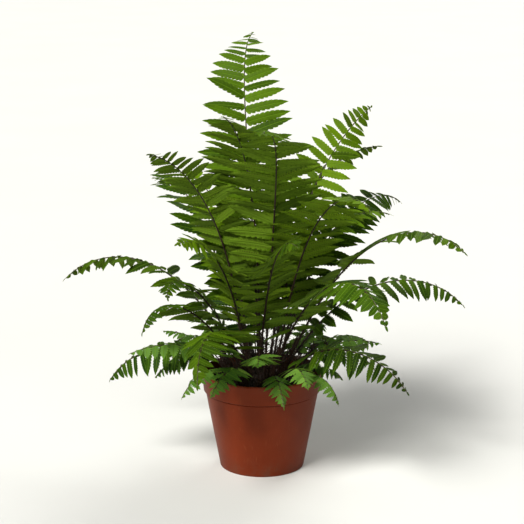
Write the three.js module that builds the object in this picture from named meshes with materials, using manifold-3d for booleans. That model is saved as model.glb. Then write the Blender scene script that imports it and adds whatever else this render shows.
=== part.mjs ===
// A potted shield fern: a terracotta-coloured plastic nursery pot filled with dark potting soil,
// a crown of arching fronds growing in a spiral out of the middle of the soil, the longest inside,
// and a ring of small young fronds round its edge, the outer ones hanging over the pot's rim.
// Millimetres, +Z up. The origin is the middle of the pot's base, and -Y is the front.

import * as THREE from "three";
import { mergeVertices } from "three/addons/utils/BufferGeometryUtils.js";
import Module from "manifold-3d";

const wasm = await Module();
wasm.setup();

const DEGREE = Math.PI / 180;
const GOLDEN_ANGLE = 137.508; // degrees from one frond to the next, as ferns and most rosettes grow

// Driving dimensions of the pot, as radius and height
const POT = {
  rimRadius: 60,
  height: 98,
  bandHeight: 20,
  footRadius: 42,
  wall: 1.5,
  sides: 24,
  drainHoles: 8,
  drainHoleRadius: 3.5,
  drainCircleRadius: 28,
};

const SOIL = {
  belowRim: 10, // of its edge
  moundHeight: 5, // of its middle above its edge
  lumpHeight: 1.1,
  gap: 0.3, // to the pot, and to the stems in their holes
  stemDepth: 13,
  cutAbove: 20, // height above a stem's foot from which its hole is cut
};

// The fronds, in two kinds that each grow in a spiral. A value in three parts is for the oldest,
// outermost frond of its kind, the middle one and the youngest, innermost one. Angles are degrees,
// leans are from upright, and shares are of the frond's length.
const CROWN = {
  name: "frond",
  fronds: 26,
  firstHeading: 50,
  spread: 1, // below 1, the innermost fronds part sooner
  footRadius: [27, 4],
  length: [150, 330, 345],
  leanAtSoil: [46, 20, 4],
  leanAtTip: [155, 120, 70],
  bend: [1.1, 2.8, 3], // the power that keeps the bend near the tip
  bareStem: [0.2, 0.25, 0.36],
  stemRings: [0.5],
  halfWidth: [32, 48, 54],
  pairs: [8, 12, 12],
  stemWidth: 2.4,
  vary: { heading: 12, length: 0.12, lean: 6, sweep: 44, twist: 36 },
};
const EDGE = {
  name: "young_frond",
  fronds: 27,
  firstHeading: 40,
  spread: 1,
  footRadius: [42, 30],
  length: [86, 108, 124],
  leanAtSoil: [30, 26, 18],
  leanAtTip: [165, 130, 70],
  bend: [1.1, 1, 1],
  bareStem: [0.3, 0.32, 0.34],
  stemRings: [],
  halfWidth: [18, 22, 25],
  pairs: [5, 5, 5],
  stemWidth: 1.5,
  vary: { heading: 9, length: 0.14, lean: 6, sweep: 24, twist: 16 },
};

// A frond's blade, as shares of its own sizes
const BLADE = {
  thickness: 0.7,
  lastStation: 0.985, // of the blade's length, where its last leaflets end
  crowding: 0.3, // how much closer than on average they start at the tip, and wider at the base
  ribDepth: 0.9, // of the stem's width
  ribTaper: 0.6, // lost by the tip
  slant: [3, 30], // degrees that a leaflet leans forward, at the blade's base and at its tip
  hang: 0.35, // radians that a leaflet hangs where the frond is level
  cup: [-0.65, 0.4], // least and greatest rise of a leaflet, radians
  cupFrom: [25, 70], // radius from which the blade is curved round the plant's middle
  droop: 0.1, // of a leaflet's length, at its tip
  tipForward: 0.92, // of the spacing, that the tip stands in front of the leaflet's rear base
  shoulder: 0.86, // of a leaflet's length, where it is still broad
  shoulderForward: 0.32,
  end: 0.12, // of the half width, that the blade's point stands beyond the last leaflets
};

const STEM = {
  uprightShare: 0.06, // of the frond's length, in which the stem bends to its lean
  collar: 3, // height above the soil of the first ring of the stem
  holeShare: 0.68, // the radius of its hole in the soil, without the gap, of its width
};

const CLEARANCE = 1.1; // least gap between two fronds
const MOST_DRAWS = 240;
const CALMEST_DRAW = 60; // the first ones come closer to the plain spiral, the later ones stray again
const CROWDED_DRAW = 96; // from this one on, a frond that finds no place grows smaller
const MOST_STUNTING = 0.45; // of its length and width, at the last draw
const PATH_STEPS = 48;

const COLOURS = {
  pot: { color: 0x9c4a30, roughness: 0.55, metalness: 0 },
  soil: { color: 0x1f1812, roughness: 1, metalness: 0 },
  frond: { color: 0x3f7a1c, roughness: 0.6, metalness: 0 },
  young: { color: 0x5d9a2a, roughness: 0.6, metalness: 0 },
};

// A repeatable random draw from 0 to 1
function randomFrom(seed) {
  let state = seed >>> 0;
  const next = () => {
    state = (Math.imul(state, 1664525) + 1013904223) >>> 0;
    return state / 2 ** 32;
  };
  for (let i = 0; i < 4; i++) next();
  return next;
}

// The value at t from 0 to 1, of a quantity given as its outermost, middle and innermost values
function between([outer, middle, inner], t) {
  return t < 0.5
    ? outer + (middle - outer) * 2 * t
    : middle + (inner - middle) * (2 * t - 1);
}

function solidOf(geometry) {
  const bare = geometry.clone();
  bare.deleteAttribute("normal");
  bare.deleteAttribute("uv");
  const merged = mergeVertices(bare, 1e-4);
  return new wasm.Manifold(
    new wasm.Mesh({
      numProp: 3,
      vertProperties: new Float32Array(merged.attributes.position.array),
      triVerts: new Uint32Array(merged.index.array),
    }),
  );
}

function geometryOf(solid) {
  const mesh = solid.getMesh();
  const geometry = new THREE.BufferGeometry();
  geometry.setAttribute("position", new THREE.BufferAttribute(mesh.vertProperties, 3));
  geometry.setIndex(new THREE.BufferAttribute(mesh.triVerts, 1));
  geometry.computeVertexNormals();
  return geometry;
}

function meshOf(name, geometry, finish) {
  const mesh = new THREE.Mesh(geometry, new THREE.MeshStandardMaterial(finish));
  mesh.name = name;
  return mesh;
}

// A profile of [radius, height] points turned about the Z axis
function turned(profile, sides) {
  const points = profile.map(([radius, height]) => new THREE.Vector2(radius, height));
  return new THREE.LatheGeometry(points, sides).rotateX(90 * DEGREE);
}

// An upright prism of six sides, standing at a height
function uprightPrism(radius, height, x, y, z) {
  return new THREE.CylinderGeometry(radius, radius, height, 6)
    .rotateX(90 * DEGREE)
    .translate(x, y, z + height / 2);
}

// The pot's outer wall is a cone from the foot to the underside of the rim's band.
const band = {
  bottom: POT.height - POT.bandHeight,
  lowerRadius: POT.rimRadius - 1.8,
  wallRadius: POT.rimRadius - 3.8,
};
const floorTop = 4;

function potSolid() {
  const footInner = POT.footRadius - 4;
  const channel = 2.4; // height of the drain channel's roof above the ground
  const bossRadius = 16;
  const profile = [
    [0, 0],
    [bossRadius, 0],
    [bossRadius + 2, channel],
    [footInner - 2, channel],
    [footInner, 0],
    [POT.footRadius, 0],
    [band.wallRadius, band.bottom],
    [band.lowerRadius, band.bottom + 0.6],
    [POT.rimRadius, POT.height - 1.2],
    [POT.rimRadius - 0.8, POT.height],
    [POT.rimRadius - POT.wall - 0.6, POT.height],
    [band.lowerRadius - POT.wall, band.bottom + 2.4],
    [band.wallRadius - POT.wall, band.bottom],
    [POT.footRadius - POT.wall + 0.6, floorTop],
    [0, floorTop],
  ];
  let pot = solidOf(turned(profile, POT.sides));
  for (let i = 0; i < POT.drainHoles; i++) {
    const angle = ((i + 0.5) * 360 * DEGREE) / POT.drainHoles;
    const x = POT.drainCircleRadius * Math.cos(angle);
    const y = POT.drainCircleRadius * Math.sin(angle);
    pot = pot.subtract(solidOf(uprightPrism(POT.drainHoleRadius, 10, x, y, -2)));
  }
  return pot;
}

const soilEdgeHeight = POT.height - SOIL.belowRim;

function soilHeight(x, y) {
  const edge = Math.min(1, Math.hypot(x, y) / POT.rimRadius);
  const lumps = Math.sin(x * 0.31 + 1) * Math.cos(y * 0.27) + Math.sin(x * 0.13 - y * 0.19);
  return soilEdgeHeight + SOIL.moundHeight * (1 - edge ** 2) + SOIL.lumpHeight * 0.5 * lumps;
}

// The pot's filling, with its top raised into a low uneven mound
function soilSolid() {
  const gap = SOIL.gap;
  const topRadius = band.lowerRadius - POT.wall - gap + 0.3;
  const rings = [0.8, 0.55, 0.28].map((share) => share * topRadius);
  const profile = [
    [0, floorTop + gap],
    [POT.footRadius - POT.wall + 0.6 - gap, floorTop + gap],
    [band.wallRadius - POT.wall - gap, band.bottom],
    [band.lowerRadius - POT.wall - gap, band.bottom + 2.6],
    [topRadius, soilEdgeHeight],
    ...rings.map((radius) => [radius, soilEdgeHeight + 1]),
    [0, soilEdgeHeight + 1],
  ];
  const geometry = turned(profile, POT.sides);
  const position = geometry.getAttribute("position");
  for (let i = 0; i < position.count; i++)
    if (position.getZ(i) > soilEdgeHeight + 0.5)
      position.setZ(i, soilHeight(position.getX(i), position.getY(i)));
  return solidOf(geometry);
}

// The numbers of one frond, in one of its draws
function frondPlan(kind, index, attempt) {
  const t = 1 - (1 - index / (kind.fronds - 1)) ** kind.spread;
  const draw = randomFrom(index * 7919 + attempt * 104729 + kind.fronds);
  const freedom = 0.05 + Math.abs(1 - attempt / CALMEST_DRAW);
  const vary = (amount) => (draw() * 2 - 1) * amount * freedom;
  const crowding = Math.max(0, attempt - CROWDED_DRAW) / (MOST_DRAWS - CROWDED_DRAW);
  const stunted = 1 - MOST_STUNTING * crowding;
  const angle = kind.firstHeading + index * GOLDEN_ANGLE;
  const heading = angle + vary(kind.vary.heading);
  const [outerFoot, innerFoot] = kind.footRadius;
  const footRadius = innerFoot + (outerFoot - innerFoot) * Math.sqrt(1 - t);
  const footX = footRadius * Math.cos(angle * DEGREE);
  const footY = footRadius * Math.sin(angle * DEGREE);
  return {
    name: `${kind.name}_${String(index + 1).padStart(2, "0")}`,
    foot: new THREE.Vector3(footX, footY, soilHeight(footX, footY)),
    heading,
    length: between(kind.length, t) * (1 + vary(kind.vary.length)) * stunted,
    leanAtSoil: between(kind.leanAtSoil, t) + vary(kind.vary.lean / 3),
    leanAtTip: between(kind.leanAtTip, t) + vary(kind.vary.lean * 2),
    bend: between(kind.bend, t),
    sweep: vary(kind.vary.sweep),
    twist: vary(kind.vary.twist),
    bareStem: between(kind.bareStem, t),
    halfWidth: between(kind.halfWidth, t) * stunted,
    pairs: Math.round(between(kind.pairs, t)),
    stemRings: kind.stemRings,
    stemWidth: kind.stemWidth,
  };
}

// The frond's own directions at a share of its length: along it, to its left and out of its face
function directions(plan, share) {
  const start = THREE.MathUtils.smoothstep(share, 0, STEM.uprightShare);
  const lean =
    plan.leanAtSoil * start + (plan.leanAtTip - plan.leanAtSoil) * share ** plan.bend;
  const heading = plan.heading + plan.sweep * share ** 2;
  const [l, h] = [lean * DEGREE, heading * DEGREE];
  const rise = Math.cos(l);
  const along = new THREE.Vector3(
    Math.sin(l) * Math.cos(h),
    Math.sin(l) * Math.sin(h),
    rise,
  );
  const left = new THREE.Vector3(-Math.sin(h), Math.cos(h), 0);
  left.applyAxisAngle(along, plan.twist * DEGREE * share);
  return { along, left, face: along.clone().cross(left), rise };
}

// The points of the stem and rib, from the soil to the tip, in equal steps
function pathOf(plan) {
  const points = [plan.foot.clone()];
  for (let i = 0; i < PATH_STEPS; i++) {
    const { along } = directions(plan, (i + 0.5) / PATH_STEPS);
    points.push(points[i].clone().addScaledVector(along, plan.length / PATH_STEPS));
  }
  return points;
}

function pointOn(path, share) {
  const place = Math.min(share, 1) * PATH_STEPS;
  const i = Math.min(Math.floor(place), PATH_STEPS - 1);
  return path[i].clone().lerp(path[i + 1], place - i);
}

// How far along the blade, from 0 to 1, its k-th leaflet of n starts: they stand closer near the tip
function bladeShare(k, n) {
  const v = k / n;
  return v * (1 + BLADE.crowding * (1 - v));
}

// The blade's outline: a leaflet's length there as a share of the longest
function outline(x) {
  return Math.min(1, 0.76 + 0.8 * x) * (1 - x ** 2.8);
}

// Collects the points and triangles of one closed body.
class Body {
  points = [];
  triangles = [];

  point(v) {
    this.points.push(v.x, v.y, v.z);
    return this.points.length / 3 - 1;
  }

  face(...corners) {
    for (let i = 2; i < corners.length; i++)
      this.triangles.push(corners[0], corners[i - 1], corners[i]);
  }

  geometry() {
    const geometry = new THREE.BufferGeometry();
    geometry.setAttribute("position", new THREE.Float32BufferAttribute(this.points, 3));
    geometry.setIndex(this.triangles);
    geometry.computeVertexNormals();
    return geometry;
  }
}

// One frond: a slim stem with five sides, which runs on as the rib of a thin arched blade cut into
// leaflets. A margin makes it thicker, and leaves out its foot in the soil.
function frondGeometry(plan, margin = 0) {
  const body = new Body();
  const path = pathOf(plan);
  const depth = BLADE.thickness + 2 * margin;

  const ringAt = (centre, { left, face }, share) => {
    const taper = 1 - BLADE.ribTaper * share;
    const half = (plan.stemWidth / 2) * taper + margin;
    const keel = Math.max(plan.stemWidth * BLADE.ribDepth * taper, BLADE.thickness + 0.3);
    const at = (side, down) =>
      body.point(
        centre.clone().addScaledVector(left, side).addScaledVector(face, margin - down),
      );
    return {
      rightTop: at(-half, 0),
      leftTop: at(half, 0),
      leftLow: at(half, depth),
      keel: at(0, keel + 2 * margin),
      rightLow: at(-half, depth),
    };
  };
  const around = (r) => [r.rightTop, r.leftTop, r.leftLow, r.keel, r.rightLow];
  const join = (a, b, skip = () => false) => {
    const [from, to] = [around(a), around(b)];
    from.forEach((_, i) => {
      const j = (i + 1) % from.length;
      if (!skip(i)) body.face(from[i], to[i], to[j], from[j]);
    });
  };

  const stemShares = [
    STEM.collar / plan.length,
    ...plan.stemRings.map((share) => share * plan.bareStem),
  ];
  const upright = directions(plan, 0);
  const rings = stemShares.map((share) =>
    ringAt(pointOn(path, share), directions(plan, share), share),
  );
  if (!margin) {
    const bottom = plan.foot.clone();
    bottom.z -= SOIL.stemDepth - SOIL.gap;
    rings.unshift(ringAt(bottom, upright, 0), ringAt(plan.foot, upright, 0));
  }

  const stations = [];
  for (let k = 0; k <= plan.pairs; k++) {
    const x = bladeShare(k, plan.pairs) * BLADE.lastStation;
    const share = plan.bareStem + (1 - plan.bareStem) * x;
    const centre = pointOn(path, share);
    const frame = directions(plan, share);
    stations.push({ x, centre, frame, ring: ringAt(centre, frame, share) });
  }
  rings.push(stations[0].ring);
  for (let i = 1; i < rings.length; i++) join(rings[i - 1], rings[i]);
  body.face(...around(rings[0]));

  // Each pair of leaflets takes the whole stretch of rib from one station to the next.
  for (let k = 0; k < plan.pairs; k++) {
    const [a, b] = [stations[k], stations[k + 1]];
    join(a.ring, b.ring, (i) => i === 1 || i === 4);
    const x = (a.x + b.x) / 2;
    const reach = plan.halfWidth * outline(x);
    const slant = (BLADE.slant[0] + (BLADE.slant[1] - BLADE.slant[0]) * x) * DEGREE;
    const spacing = a.centre.distanceTo(b.centre);
    const { along, left, face, rise } = a.frame;
    const radius = Math.hypot(a.centre.x, a.centre.y);
    const round = THREE.MathUtils.smoothstep(radius, ...BLADE.cupFrom) / Math.max(radius, 1);
    const cup = THREE.MathUtils.clamp(
      (round * reach * rise) / 2 - BLADE.hang * (1 - rise),
      ...BLADE.cup,
    );
    for (const side of [1, -1]) {
      const outward = left
        .clone()
        .multiplyScalar(side * Math.cos(slant) * Math.cos(cup))
        .addScaledVector(along, Math.sin(slant) * Math.cos(cup))
        .addScaledVector(face, Math.sin(cup));
      const at = (far, forward, down) =>
        a.centre
          .clone()
          .addScaledVector(outward, far * reach)
          .addScaledVector(along, forward * spacing)
          .addScaledVector(face, margin - down - BLADE.droop * reach * far ** 2);
      const [peak, rear] = [[1, BLADE.tipForward], [BLADE.shoulder, BLADE.shoulderForward]];
      const tip = [body.point(at(...peak, 0)), body.point(at(...peak, depth))];
      const shoulder = [body.point(at(...rear, 0)), body.point(at(...rear, depth))];
      const sideName = side > 0 ? "left" : "right";
      const root = [a.ring[`${sideName}Top`], a.ring[`${sideName}Low`]];
      const front = [b.ring[`${sideName}Top`], b.ring[`${sideName}Low`]];
      const edge = side > 0 ? [root, front, tip, shoulder] : [root, shoulder, tip, front];
      leafletFaces(body, edge, side);
    }
  }

  // The blade ends in a point.
  const last = stations[plan.pairs];
  const point = body.point(
    last.centre.clone().addScaledVector(last.frame.along, plan.halfWidth * BLADE.end),
  );
  const end = around(last.ring);
  end.forEach((corner, i) => body.face(corner, point, end[(i + 1) % end.length]));
  return body.geometry();
}

// The faces of one leaflet, whose corners go round it, each as its point on the upper face and the
// one below it. The first and the front corner lie on the rib, which has no wall between them.
function leafletFaces(body, corners, side) {
  const [a, b, c, d] = corners.map(([upper]) => upper);
  const [e, f, g, h] = corners.map(([, lower]) => lower);
  body.face(a, b, d);
  body.face(b, c, d);
  body.face(e, h, f);
  body.face(f, h, g);
  const walls = side > 0 ? [[1, 2], [2, 3], [3, 0]] : [[0, 1], [1, 2], [2, 3]];
  for (const [i, j] of walls)
    body.face(corners[i][0], corners[i][1], corners[j][1], corners[j][0]);
}

// Draws a frond again until it is clear of all that is already placed.
function clearFrond(kind, index, placed) {
  for (let attempt = 0; attempt < MOST_DRAWS; attempt++) {
    const plan = frondPlan(kind, index, attempt);
    const wide = solidOf(frondGeometry(plan, CLEARANCE));
    if (placed.every((other) => wide.intersect(other).isEmpty())) return plan;
  }
  throw new Error(`${kind.name} ${index + 1} found no clear place in ${MOST_DRAWS} draws`);
}

const pot = potSolid();
let soil = soilSolid();

const plans = [];
const placed = [pot, soil];
for (const kind of [CROWN, EDGE])
  for (let index = kind.fronds - 1; index >= 0; index--) {
    const plan = clearFrond(kind, index, placed);
    placed.push(solidOf(frondGeometry(plan)));
    plans.push({ kind, plan });
  }

// Each stem stands in a plain hole.
for (const { plan } of plans) {
  const clearRadius = plan.stemWidth * STEM.holeShare + SOIL.gap;
  const { face } = directions(plan, 0);
  const centre = plan.foot.clone().addScaledVector(face, (-plan.stemWidth * BLADE.ribDepth) / 2);
  const hole = uprightPrism(
    clearRadius / Math.cos(30 * DEGREE),
    SOIL.stemDepth + SOIL.cutAbove,
    centre.x,
    centre.y,
    centre.z - SOIL.stemDepth,
  );
  soil = soil.subtract(solidOf(hole));
}

const fern = new THREE.Group();
fern.add(meshOf("pot", geometryOf(pot), COLOURS.pot));
fern.add(meshOf("potting_soil", geometryOf(soil), COLOURS.soil));
for (const { kind, plan } of plans)
  fern.add(
    meshOf(plan.name, frondGeometry(plan), kind === EDGE ? COLOURS.young : COLOURS.frond),
  );

export default fern;
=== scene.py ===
# %% [markdown]
# # A potted shield fern
#
# A fern with long arching fronds grows in a round plastic nursery pot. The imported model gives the
# sizes: a pot, its soil, a crown of fronds and a ring of small young ones. This lesson dresses each
# of them. Leaves are the main work, because a fern is hundreds of small leaflets that all follow
# the same rule.

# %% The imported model
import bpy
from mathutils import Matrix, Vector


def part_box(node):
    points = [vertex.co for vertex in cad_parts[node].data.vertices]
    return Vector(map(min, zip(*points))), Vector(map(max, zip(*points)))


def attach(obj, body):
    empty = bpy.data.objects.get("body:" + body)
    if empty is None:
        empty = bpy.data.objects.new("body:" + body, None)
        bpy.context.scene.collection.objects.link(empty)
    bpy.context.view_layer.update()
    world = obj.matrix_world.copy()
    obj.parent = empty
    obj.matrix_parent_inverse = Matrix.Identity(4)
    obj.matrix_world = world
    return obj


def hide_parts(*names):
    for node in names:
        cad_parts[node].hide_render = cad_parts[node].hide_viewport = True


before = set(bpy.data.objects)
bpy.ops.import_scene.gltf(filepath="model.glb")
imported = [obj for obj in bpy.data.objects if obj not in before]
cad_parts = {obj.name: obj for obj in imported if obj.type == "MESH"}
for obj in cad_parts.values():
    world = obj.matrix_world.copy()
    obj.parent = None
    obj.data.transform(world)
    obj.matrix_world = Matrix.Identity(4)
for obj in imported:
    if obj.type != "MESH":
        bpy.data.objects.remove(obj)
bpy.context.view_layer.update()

import math
import bmesh
import bpy
from mathutils import Matrix, Vector
from mathutils import noise as fractal

MM = 0.001


def around(angle, radius=1.0, height=0.0):
    """A point, or a way, at an angle round the upright axis."""
    return Vector((radius * math.cos(angle), radius * math.sin(angle), height))


# %% [markdown]
# ## Camera, floor and light
#
# The plant is seen from well away and 13 degrees above level, so the pot's rim shows as an ellipse
# and the pale floor is all that lies behind. The light is that of a bright cloudy day: a wide soft
# sun from the upper left, a faint one in front that opens the shadows a little, one from behind
# that shines through the leaves, and a dim sky. Suns light the whole floor evenly, which lamps
# can't. A gamma a little under 1 keeps the inside of the crown dark.

# %% Camera
scene = bpy.context.scene


def added(name, data):
    """A new object in the scene."""
    obj = bpy.data.objects.new(name, data)
    scene.collection.objects.link(obj)
    return obj


def aim(obj, target):
    obj.rotation_euler = (Vector(target) - obj.location).to_track_quat("-Z", "Y").to_euler()


camera = added("camera", bpy.data.cameras.new("camera"))
camera.data.lens = 105
AIM = Vector((0, 0, 0.208))
AWAY, ABOVE = 1.5, math.radians(13)
camera.location = AIM + AWAY * Vector((0, -math.cos(ABOVE), math.sin(ABOVE)))
aim(camera, AIM)
scene.camera = camera

# %% Floor and suns
REACH = 14
floor_mesh = bpy.data.meshes.new("floor")
floor_corners = [(REACH * x, REACH * y, 0) for x, y in ((-1, -1), (1, -1), (1, 1), (-1, 1))]
floor_mesh.from_pydata(floor_corners, [], [(0, 1, 2, 3)])
floor = added("floor", floor_mesh)


def soft_sun(name, place, width, strength, colour):
    sun = added(name, bpy.data.lights.new(name, "SUN"))
    sun.data.angle = math.radians(width)
    sun.data.energy = strength
    sun.data.color = colour
    sun.location = place
    aim(sun, (0, 0, 0))


soft_sun("key", (-0.55, -0.80, 1.0), width=22, strength=5.2, colour=(1.0, 0.99, 0.94))
soft_sun("front", (0.45, -1.0, 0.45), width=40, strength=0.55, colour=(1.0, 1.0, 0.98))
soft_sun("back", (0.5, 0.9, 0.9), width=30, strength=1.8, colour=(1.0, 1.0, 0.95))

world = bpy.data.worlds.new("studio")
world.use_nodes = True
sky = world.node_tree.nodes["Background"].inputs
sky["Color"].default_value = (1, 1, 1, 1)
sky["Strength"].default_value = 0.1
scene.world = world
scene.view_settings.view_transform = "Standard"
scene.view_settings.gamma = 0.86
print("camera height, mm:", round(camera.location.z / MM))

# %% [markdown]
# ## Short words for node trees
#
# Materials and Geometry Nodes are both trees of nodes. Written out in full they are long, so a few
# helpers do the wiring. `put` adds a node and fills its inputs with numbers or with other nodes'
# outputs, `result` gives that node's first output, and `calc` adds one step of arithmetic.

# %% Wiring helpers


def fill(tree, node, inputs):
    for name, value in inputs.items():
        if isinstance(value, bpy.types.NodeSocket):
            tree.links.new(value, node.inputs[name])
        else:
            node.inputs[name].default_value = value


def put(tree, kind, inputs=None, **settings):
    node = tree.nodes.new(kind)
    for name, value in settings.items():
        setattr(node, name, value)
    fill(tree, node, inputs or {})
    return node


def result(tree, kind, inputs=None, **settings):
    return put(tree, kind, inputs, **settings).outputs[0]


def calc(tree, operation, *values):
    return result(tree, "ShaderNodeMath", dict(enumerate(values)), operation=operation)


def times(tree, *values):
    product = values[0]
    for value in values[1:]:
        product = calc(tree, "MULTIPLY", product, value)
    return product


def blend_colours(tree, share, one, other):
    mix = put(tree, "ShaderNodeMix", {0: share, 6: one, 7: other}, data_type="RGBA")
    return mix.outputs[2]


def new_material(name):
    material = bpy.data.materials.new(name)
    material.use_nodes = True
    tree = material.node_tree
    tree.nodes.clear()
    shader = put(tree, "ShaderNodeBsdfPrincipled")
    put(tree, "ShaderNodeOutputMaterial", {"Surface": shader.outputs[0]})
    return material, tree, shader


def noise(tree, place, scale, detail=3.0, roughness=0.55):
    inputs = {"Vector": place, "Scale": scale, "Detail": detail, "Roughness": roughness}
    return put(tree, "ShaderNodeTexNoise", inputs).outputs["Fac"]


def object_place(tree, stretch=(1, 1, 1)):
    place = put(tree, "ShaderNodeTexCoord").outputs["Object"]
    return result(tree, "ShaderNodeMapping", {"Vector": place, "Scale": stretch})


def ramp(tree, value, low, high):
    inputs = {"Value": value, "From Min": low, "From Max": high}
    return result(tree, "ShaderNodeMapRange", inputs, clamp=True)


def bump(tree, height, depth, strength=1.0):
    inputs = {"Height": height, "Distance": depth, "Strength": strength}
    return result(tree, "ShaderNodeBump", inputs)


def stored(tree, label):
    """A number that the mesh carries, read by the material."""
    return put(tree, "ShaderNodeAttribute", attribute_name=label).outputs["Fac"]


# %% [markdown]
# The floor is matte and almost white. A very faint mottle keeps it from looking like nothing.

# %% Floor finish
floor_finish, tree, shader = new_material("floor_finish")
mottle = ramp(tree, noise(tree, object_place(tree), 3.0), 0.3, 0.7)
pale = blend_colours(tree, mottle, (0.585, 0.585, 0.58, 1), (0.60, 0.60, 0.595, 1))
fill(tree, shader, {"Base Color": pale, "Roughness": 0.85})
floor.data.materials.append(floor_finish)

# %% [markdown]
# ## The pot
#
# A nursery pot is thin moulded plastic: a tapered wall, a deeper band round the rim, and an
# underside with a raised ring of drainage holes. It is round, so its profile is turned about the
# upright axis. The profile below follows the model's own corners and rounds them, because a moulded
# edge always catches a thin line of light. Many more sides than the model's make it smooth.

# %% Pot sizes
POT_HEIGHT = 98.0
RIM_RADIUS = 60.0
FOOT_RADIUS = 42.0
WALL = 1.5
BAND_BOTTOM = POT_HEIGHT - 20.0
BAND_LOW_RADIUS = RIM_RADIUS - 1.8
WALL_TOP_RADIUS = RIM_RADIUS - 3.8
FLOOR_TOP = 4.0
DRAIN_ROOF = 2.4
HOLES = 8
HOLE_RADIUS = 3.5
HOLE_CIRCLE = 28.0
POT_SIDES = 120


def rounded(profile, radius, steps=4):
    """The profile with each inner corner replaced by a small arc-like run of points."""
    points = [Vector(p) for p in profile]
    made = [points[0]]
    for before, corner, after in zip(points, points[1:], points[2:]):
        reach = min(radius, (before - corner).length * 0.45, (after - corner).length * 0.45)
        start = corner + (before - corner).normalized() * reach
        end = corner + (after - corner).normalized() * reach
        for i in range(steps + 1):
            t = i / steps
            made.append(start * (1 - t) ** 2 + corner * 2 * t * (1 - t) + end * t ** 2)
    made.append(points[-1])
    return made


def mesh_of(name, built):
    data = bpy.data.meshes.new(name)
    built.to_mesh(data)
    built.free()
    return data


def turned(name, profile, sides):
    """A closed solid: a profile from axis to axis, in millimetres, turned about Z."""
    mesh = bmesh.new()
    rings = []
    for radius, height in profile:
        angles = [2 * math.pi * i / sides for i in range(sides if radius else 1)]
        rings.append([mesh.verts.new(around(a, radius * MM, height * MM)) for a in angles])
    for low, high in zip(rings, rings[1:]):
        for i in range(sides):
            j = (i + 1) % sides
            corners = [low[i % len(low)], low[j % len(low)]]
            corners += [high[j % len(high)], high[i % len(high)]]
            mesh.faces.new(dict.fromkeys(corners))
    bmesh.ops.recalc_face_normals(mesh, faces=mesh.faces)
    return added(name, mesh_of(name, mesh))


# %% Turn the pot
pot_profile = rounded(
    [
        (0, 0), (16, 0), (18, DRAIN_ROOF), (FOOT_RADIUS - 6, DRAIN_ROOF),
        (FOOT_RADIUS - 4, 0), (FOOT_RADIUS, 0),
        (WALL_TOP_RADIUS, BAND_BOTTOM - 0.9), (WALL_TOP_RADIUS - 0.5, BAND_BOTTOM - 0.2),
        (BAND_LOW_RADIUS, BAND_BOTTOM + 0.6), (RIM_RADIUS, POT_HEIGHT - 1.2),
        (RIM_RADIUS - 0.8, POT_HEIGHT), (RIM_RADIUS - WALL - 0.6, POT_HEIGHT),
        (BAND_LOW_RADIUS - WALL, BAND_BOTTOM + 2.4), (WALL_TOP_RADIUS - WALL, BAND_BOTTOM),
        (FOOT_RADIUS - WALL + 0.6, FLOOR_TOP), (0, FLOOR_TOP),
    ],
    0.7,
)
pot = turned("nursery_pot", [tuple(p) for p in pot_profile], POT_SIDES)
print("pot faces:", len(pot.data.polygons))

# %% [markdown]
# The drainage holes are drilled with a Boolean modifier. One cutter object holds all eight plugs,
# so the cut is made once.

# %% Drainage holes
drill = bmesh.new()
for i in range(HOLES):
    angle = (i + 0.5) * math.tau / HOLES
    middle = around(angle, HOLE_CIRCLE, FLOOR_TOP - 1)
    bmesh.ops.create_cone(
        drill, cap_ends=True, segments=20, radius1=HOLE_RADIUS * MM, radius2=HOLE_RADIUS * MM,
        depth=FLOOR_TOP * 3 * MM, matrix=Matrix.Translation(middle * MM),
    )
drill_object = added("drill", mesh_of("drill", drill))
cut = pot.modifiers.new("drain_holes", "BOOLEAN")
cut.operation = "DIFFERENCE"
cut.object = drill_object
cut.solver = "EXACT"


def settle(piece):
    """Turns what the modifiers show into the piece's own plain mesh."""
    bpy.context.view_layer.update()
    depsgraph = bpy.context.evaluated_depsgraph_get()
    made = bpy.data.meshes.new_from_object(
        piece.evaluated_get(depsgraph), preserve_all_data_layers=True, depsgraph=depsgraph
    )
    old = piece.data
    piece.modifiers.clear()
    piece.data = made
    made.name = piece.name
    if old.users == 0:
        bpy.data.meshes.remove(old)


settle(pot)
bpy.data.objects.remove(drill_object)
pot.data.shade_smooth()
pot.data.set_sharp_from_angle(angle=math.radians(40))
print("pot with drainage holes:", len(pot.data.polygons), "faces")

# %% [markdown]
# Terracotta-coloured plastic is not one colour. It is slightly mottled, duller and greyer where
# damp soil has splashed and dried near the rim and the foot, and it has faint upright scratches
# where it was pushed in beside others. The scratches are noise stretched along Z. Roughness follows
# the same marks, so they also show in the highlights.

# %% Pot finish
pot_finish, tree, shader = new_material("pot_plastic")
place = object_place(tree)
cloud = ramp(tree, noise(tree, place, 22, 4), 0.3, 0.75)
clay = blend_colours(tree, cloud, (0.145, 0.023, 0.004, 1), (0.200, 0.033, 0.006, 1))
scratch_place = object_place(tree, (520, 520, 14))
scratch = ramp(tree, noise(tree, scratch_place, 1.0, 2, 0.6), 0.62, 0.74)
scratched = blend_colours(tree, times(tree, scratch, 0.35), clay, (0.24, 0.075, 0.035, 1))
height = put(tree, "ShaderNodeSeparateXYZ", {0: place}).outputs[2]
low_dust = ramp(tree, height, 22 * MM, 0.0)
rim_dust = times(tree, ramp(tree, height, (POT_HEIGHT - 8) * MM, POT_HEIGHT * MM), 0.55)
dust_patch = ramp(tree, noise(tree, place, 90, 5, 0.7), 0.45, 0.7)
dust = times(tree, calc(tree, "MAXIMUM", low_dust, rim_dust), dust_patch)
dusty = blend_colours(tree, times(tree, dust, 0.6), scratched, (0.10, 0.065, 0.045, 1))
rough = calc(tree, "MULTIPLY_ADD", calc(tree, "MAXIMUM", dust, scratch), 0.28, 0.44)
grain = calc(tree, "ADD", noise(tree, place, 700, 2), times(tree, scratch, 0.8))
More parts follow.
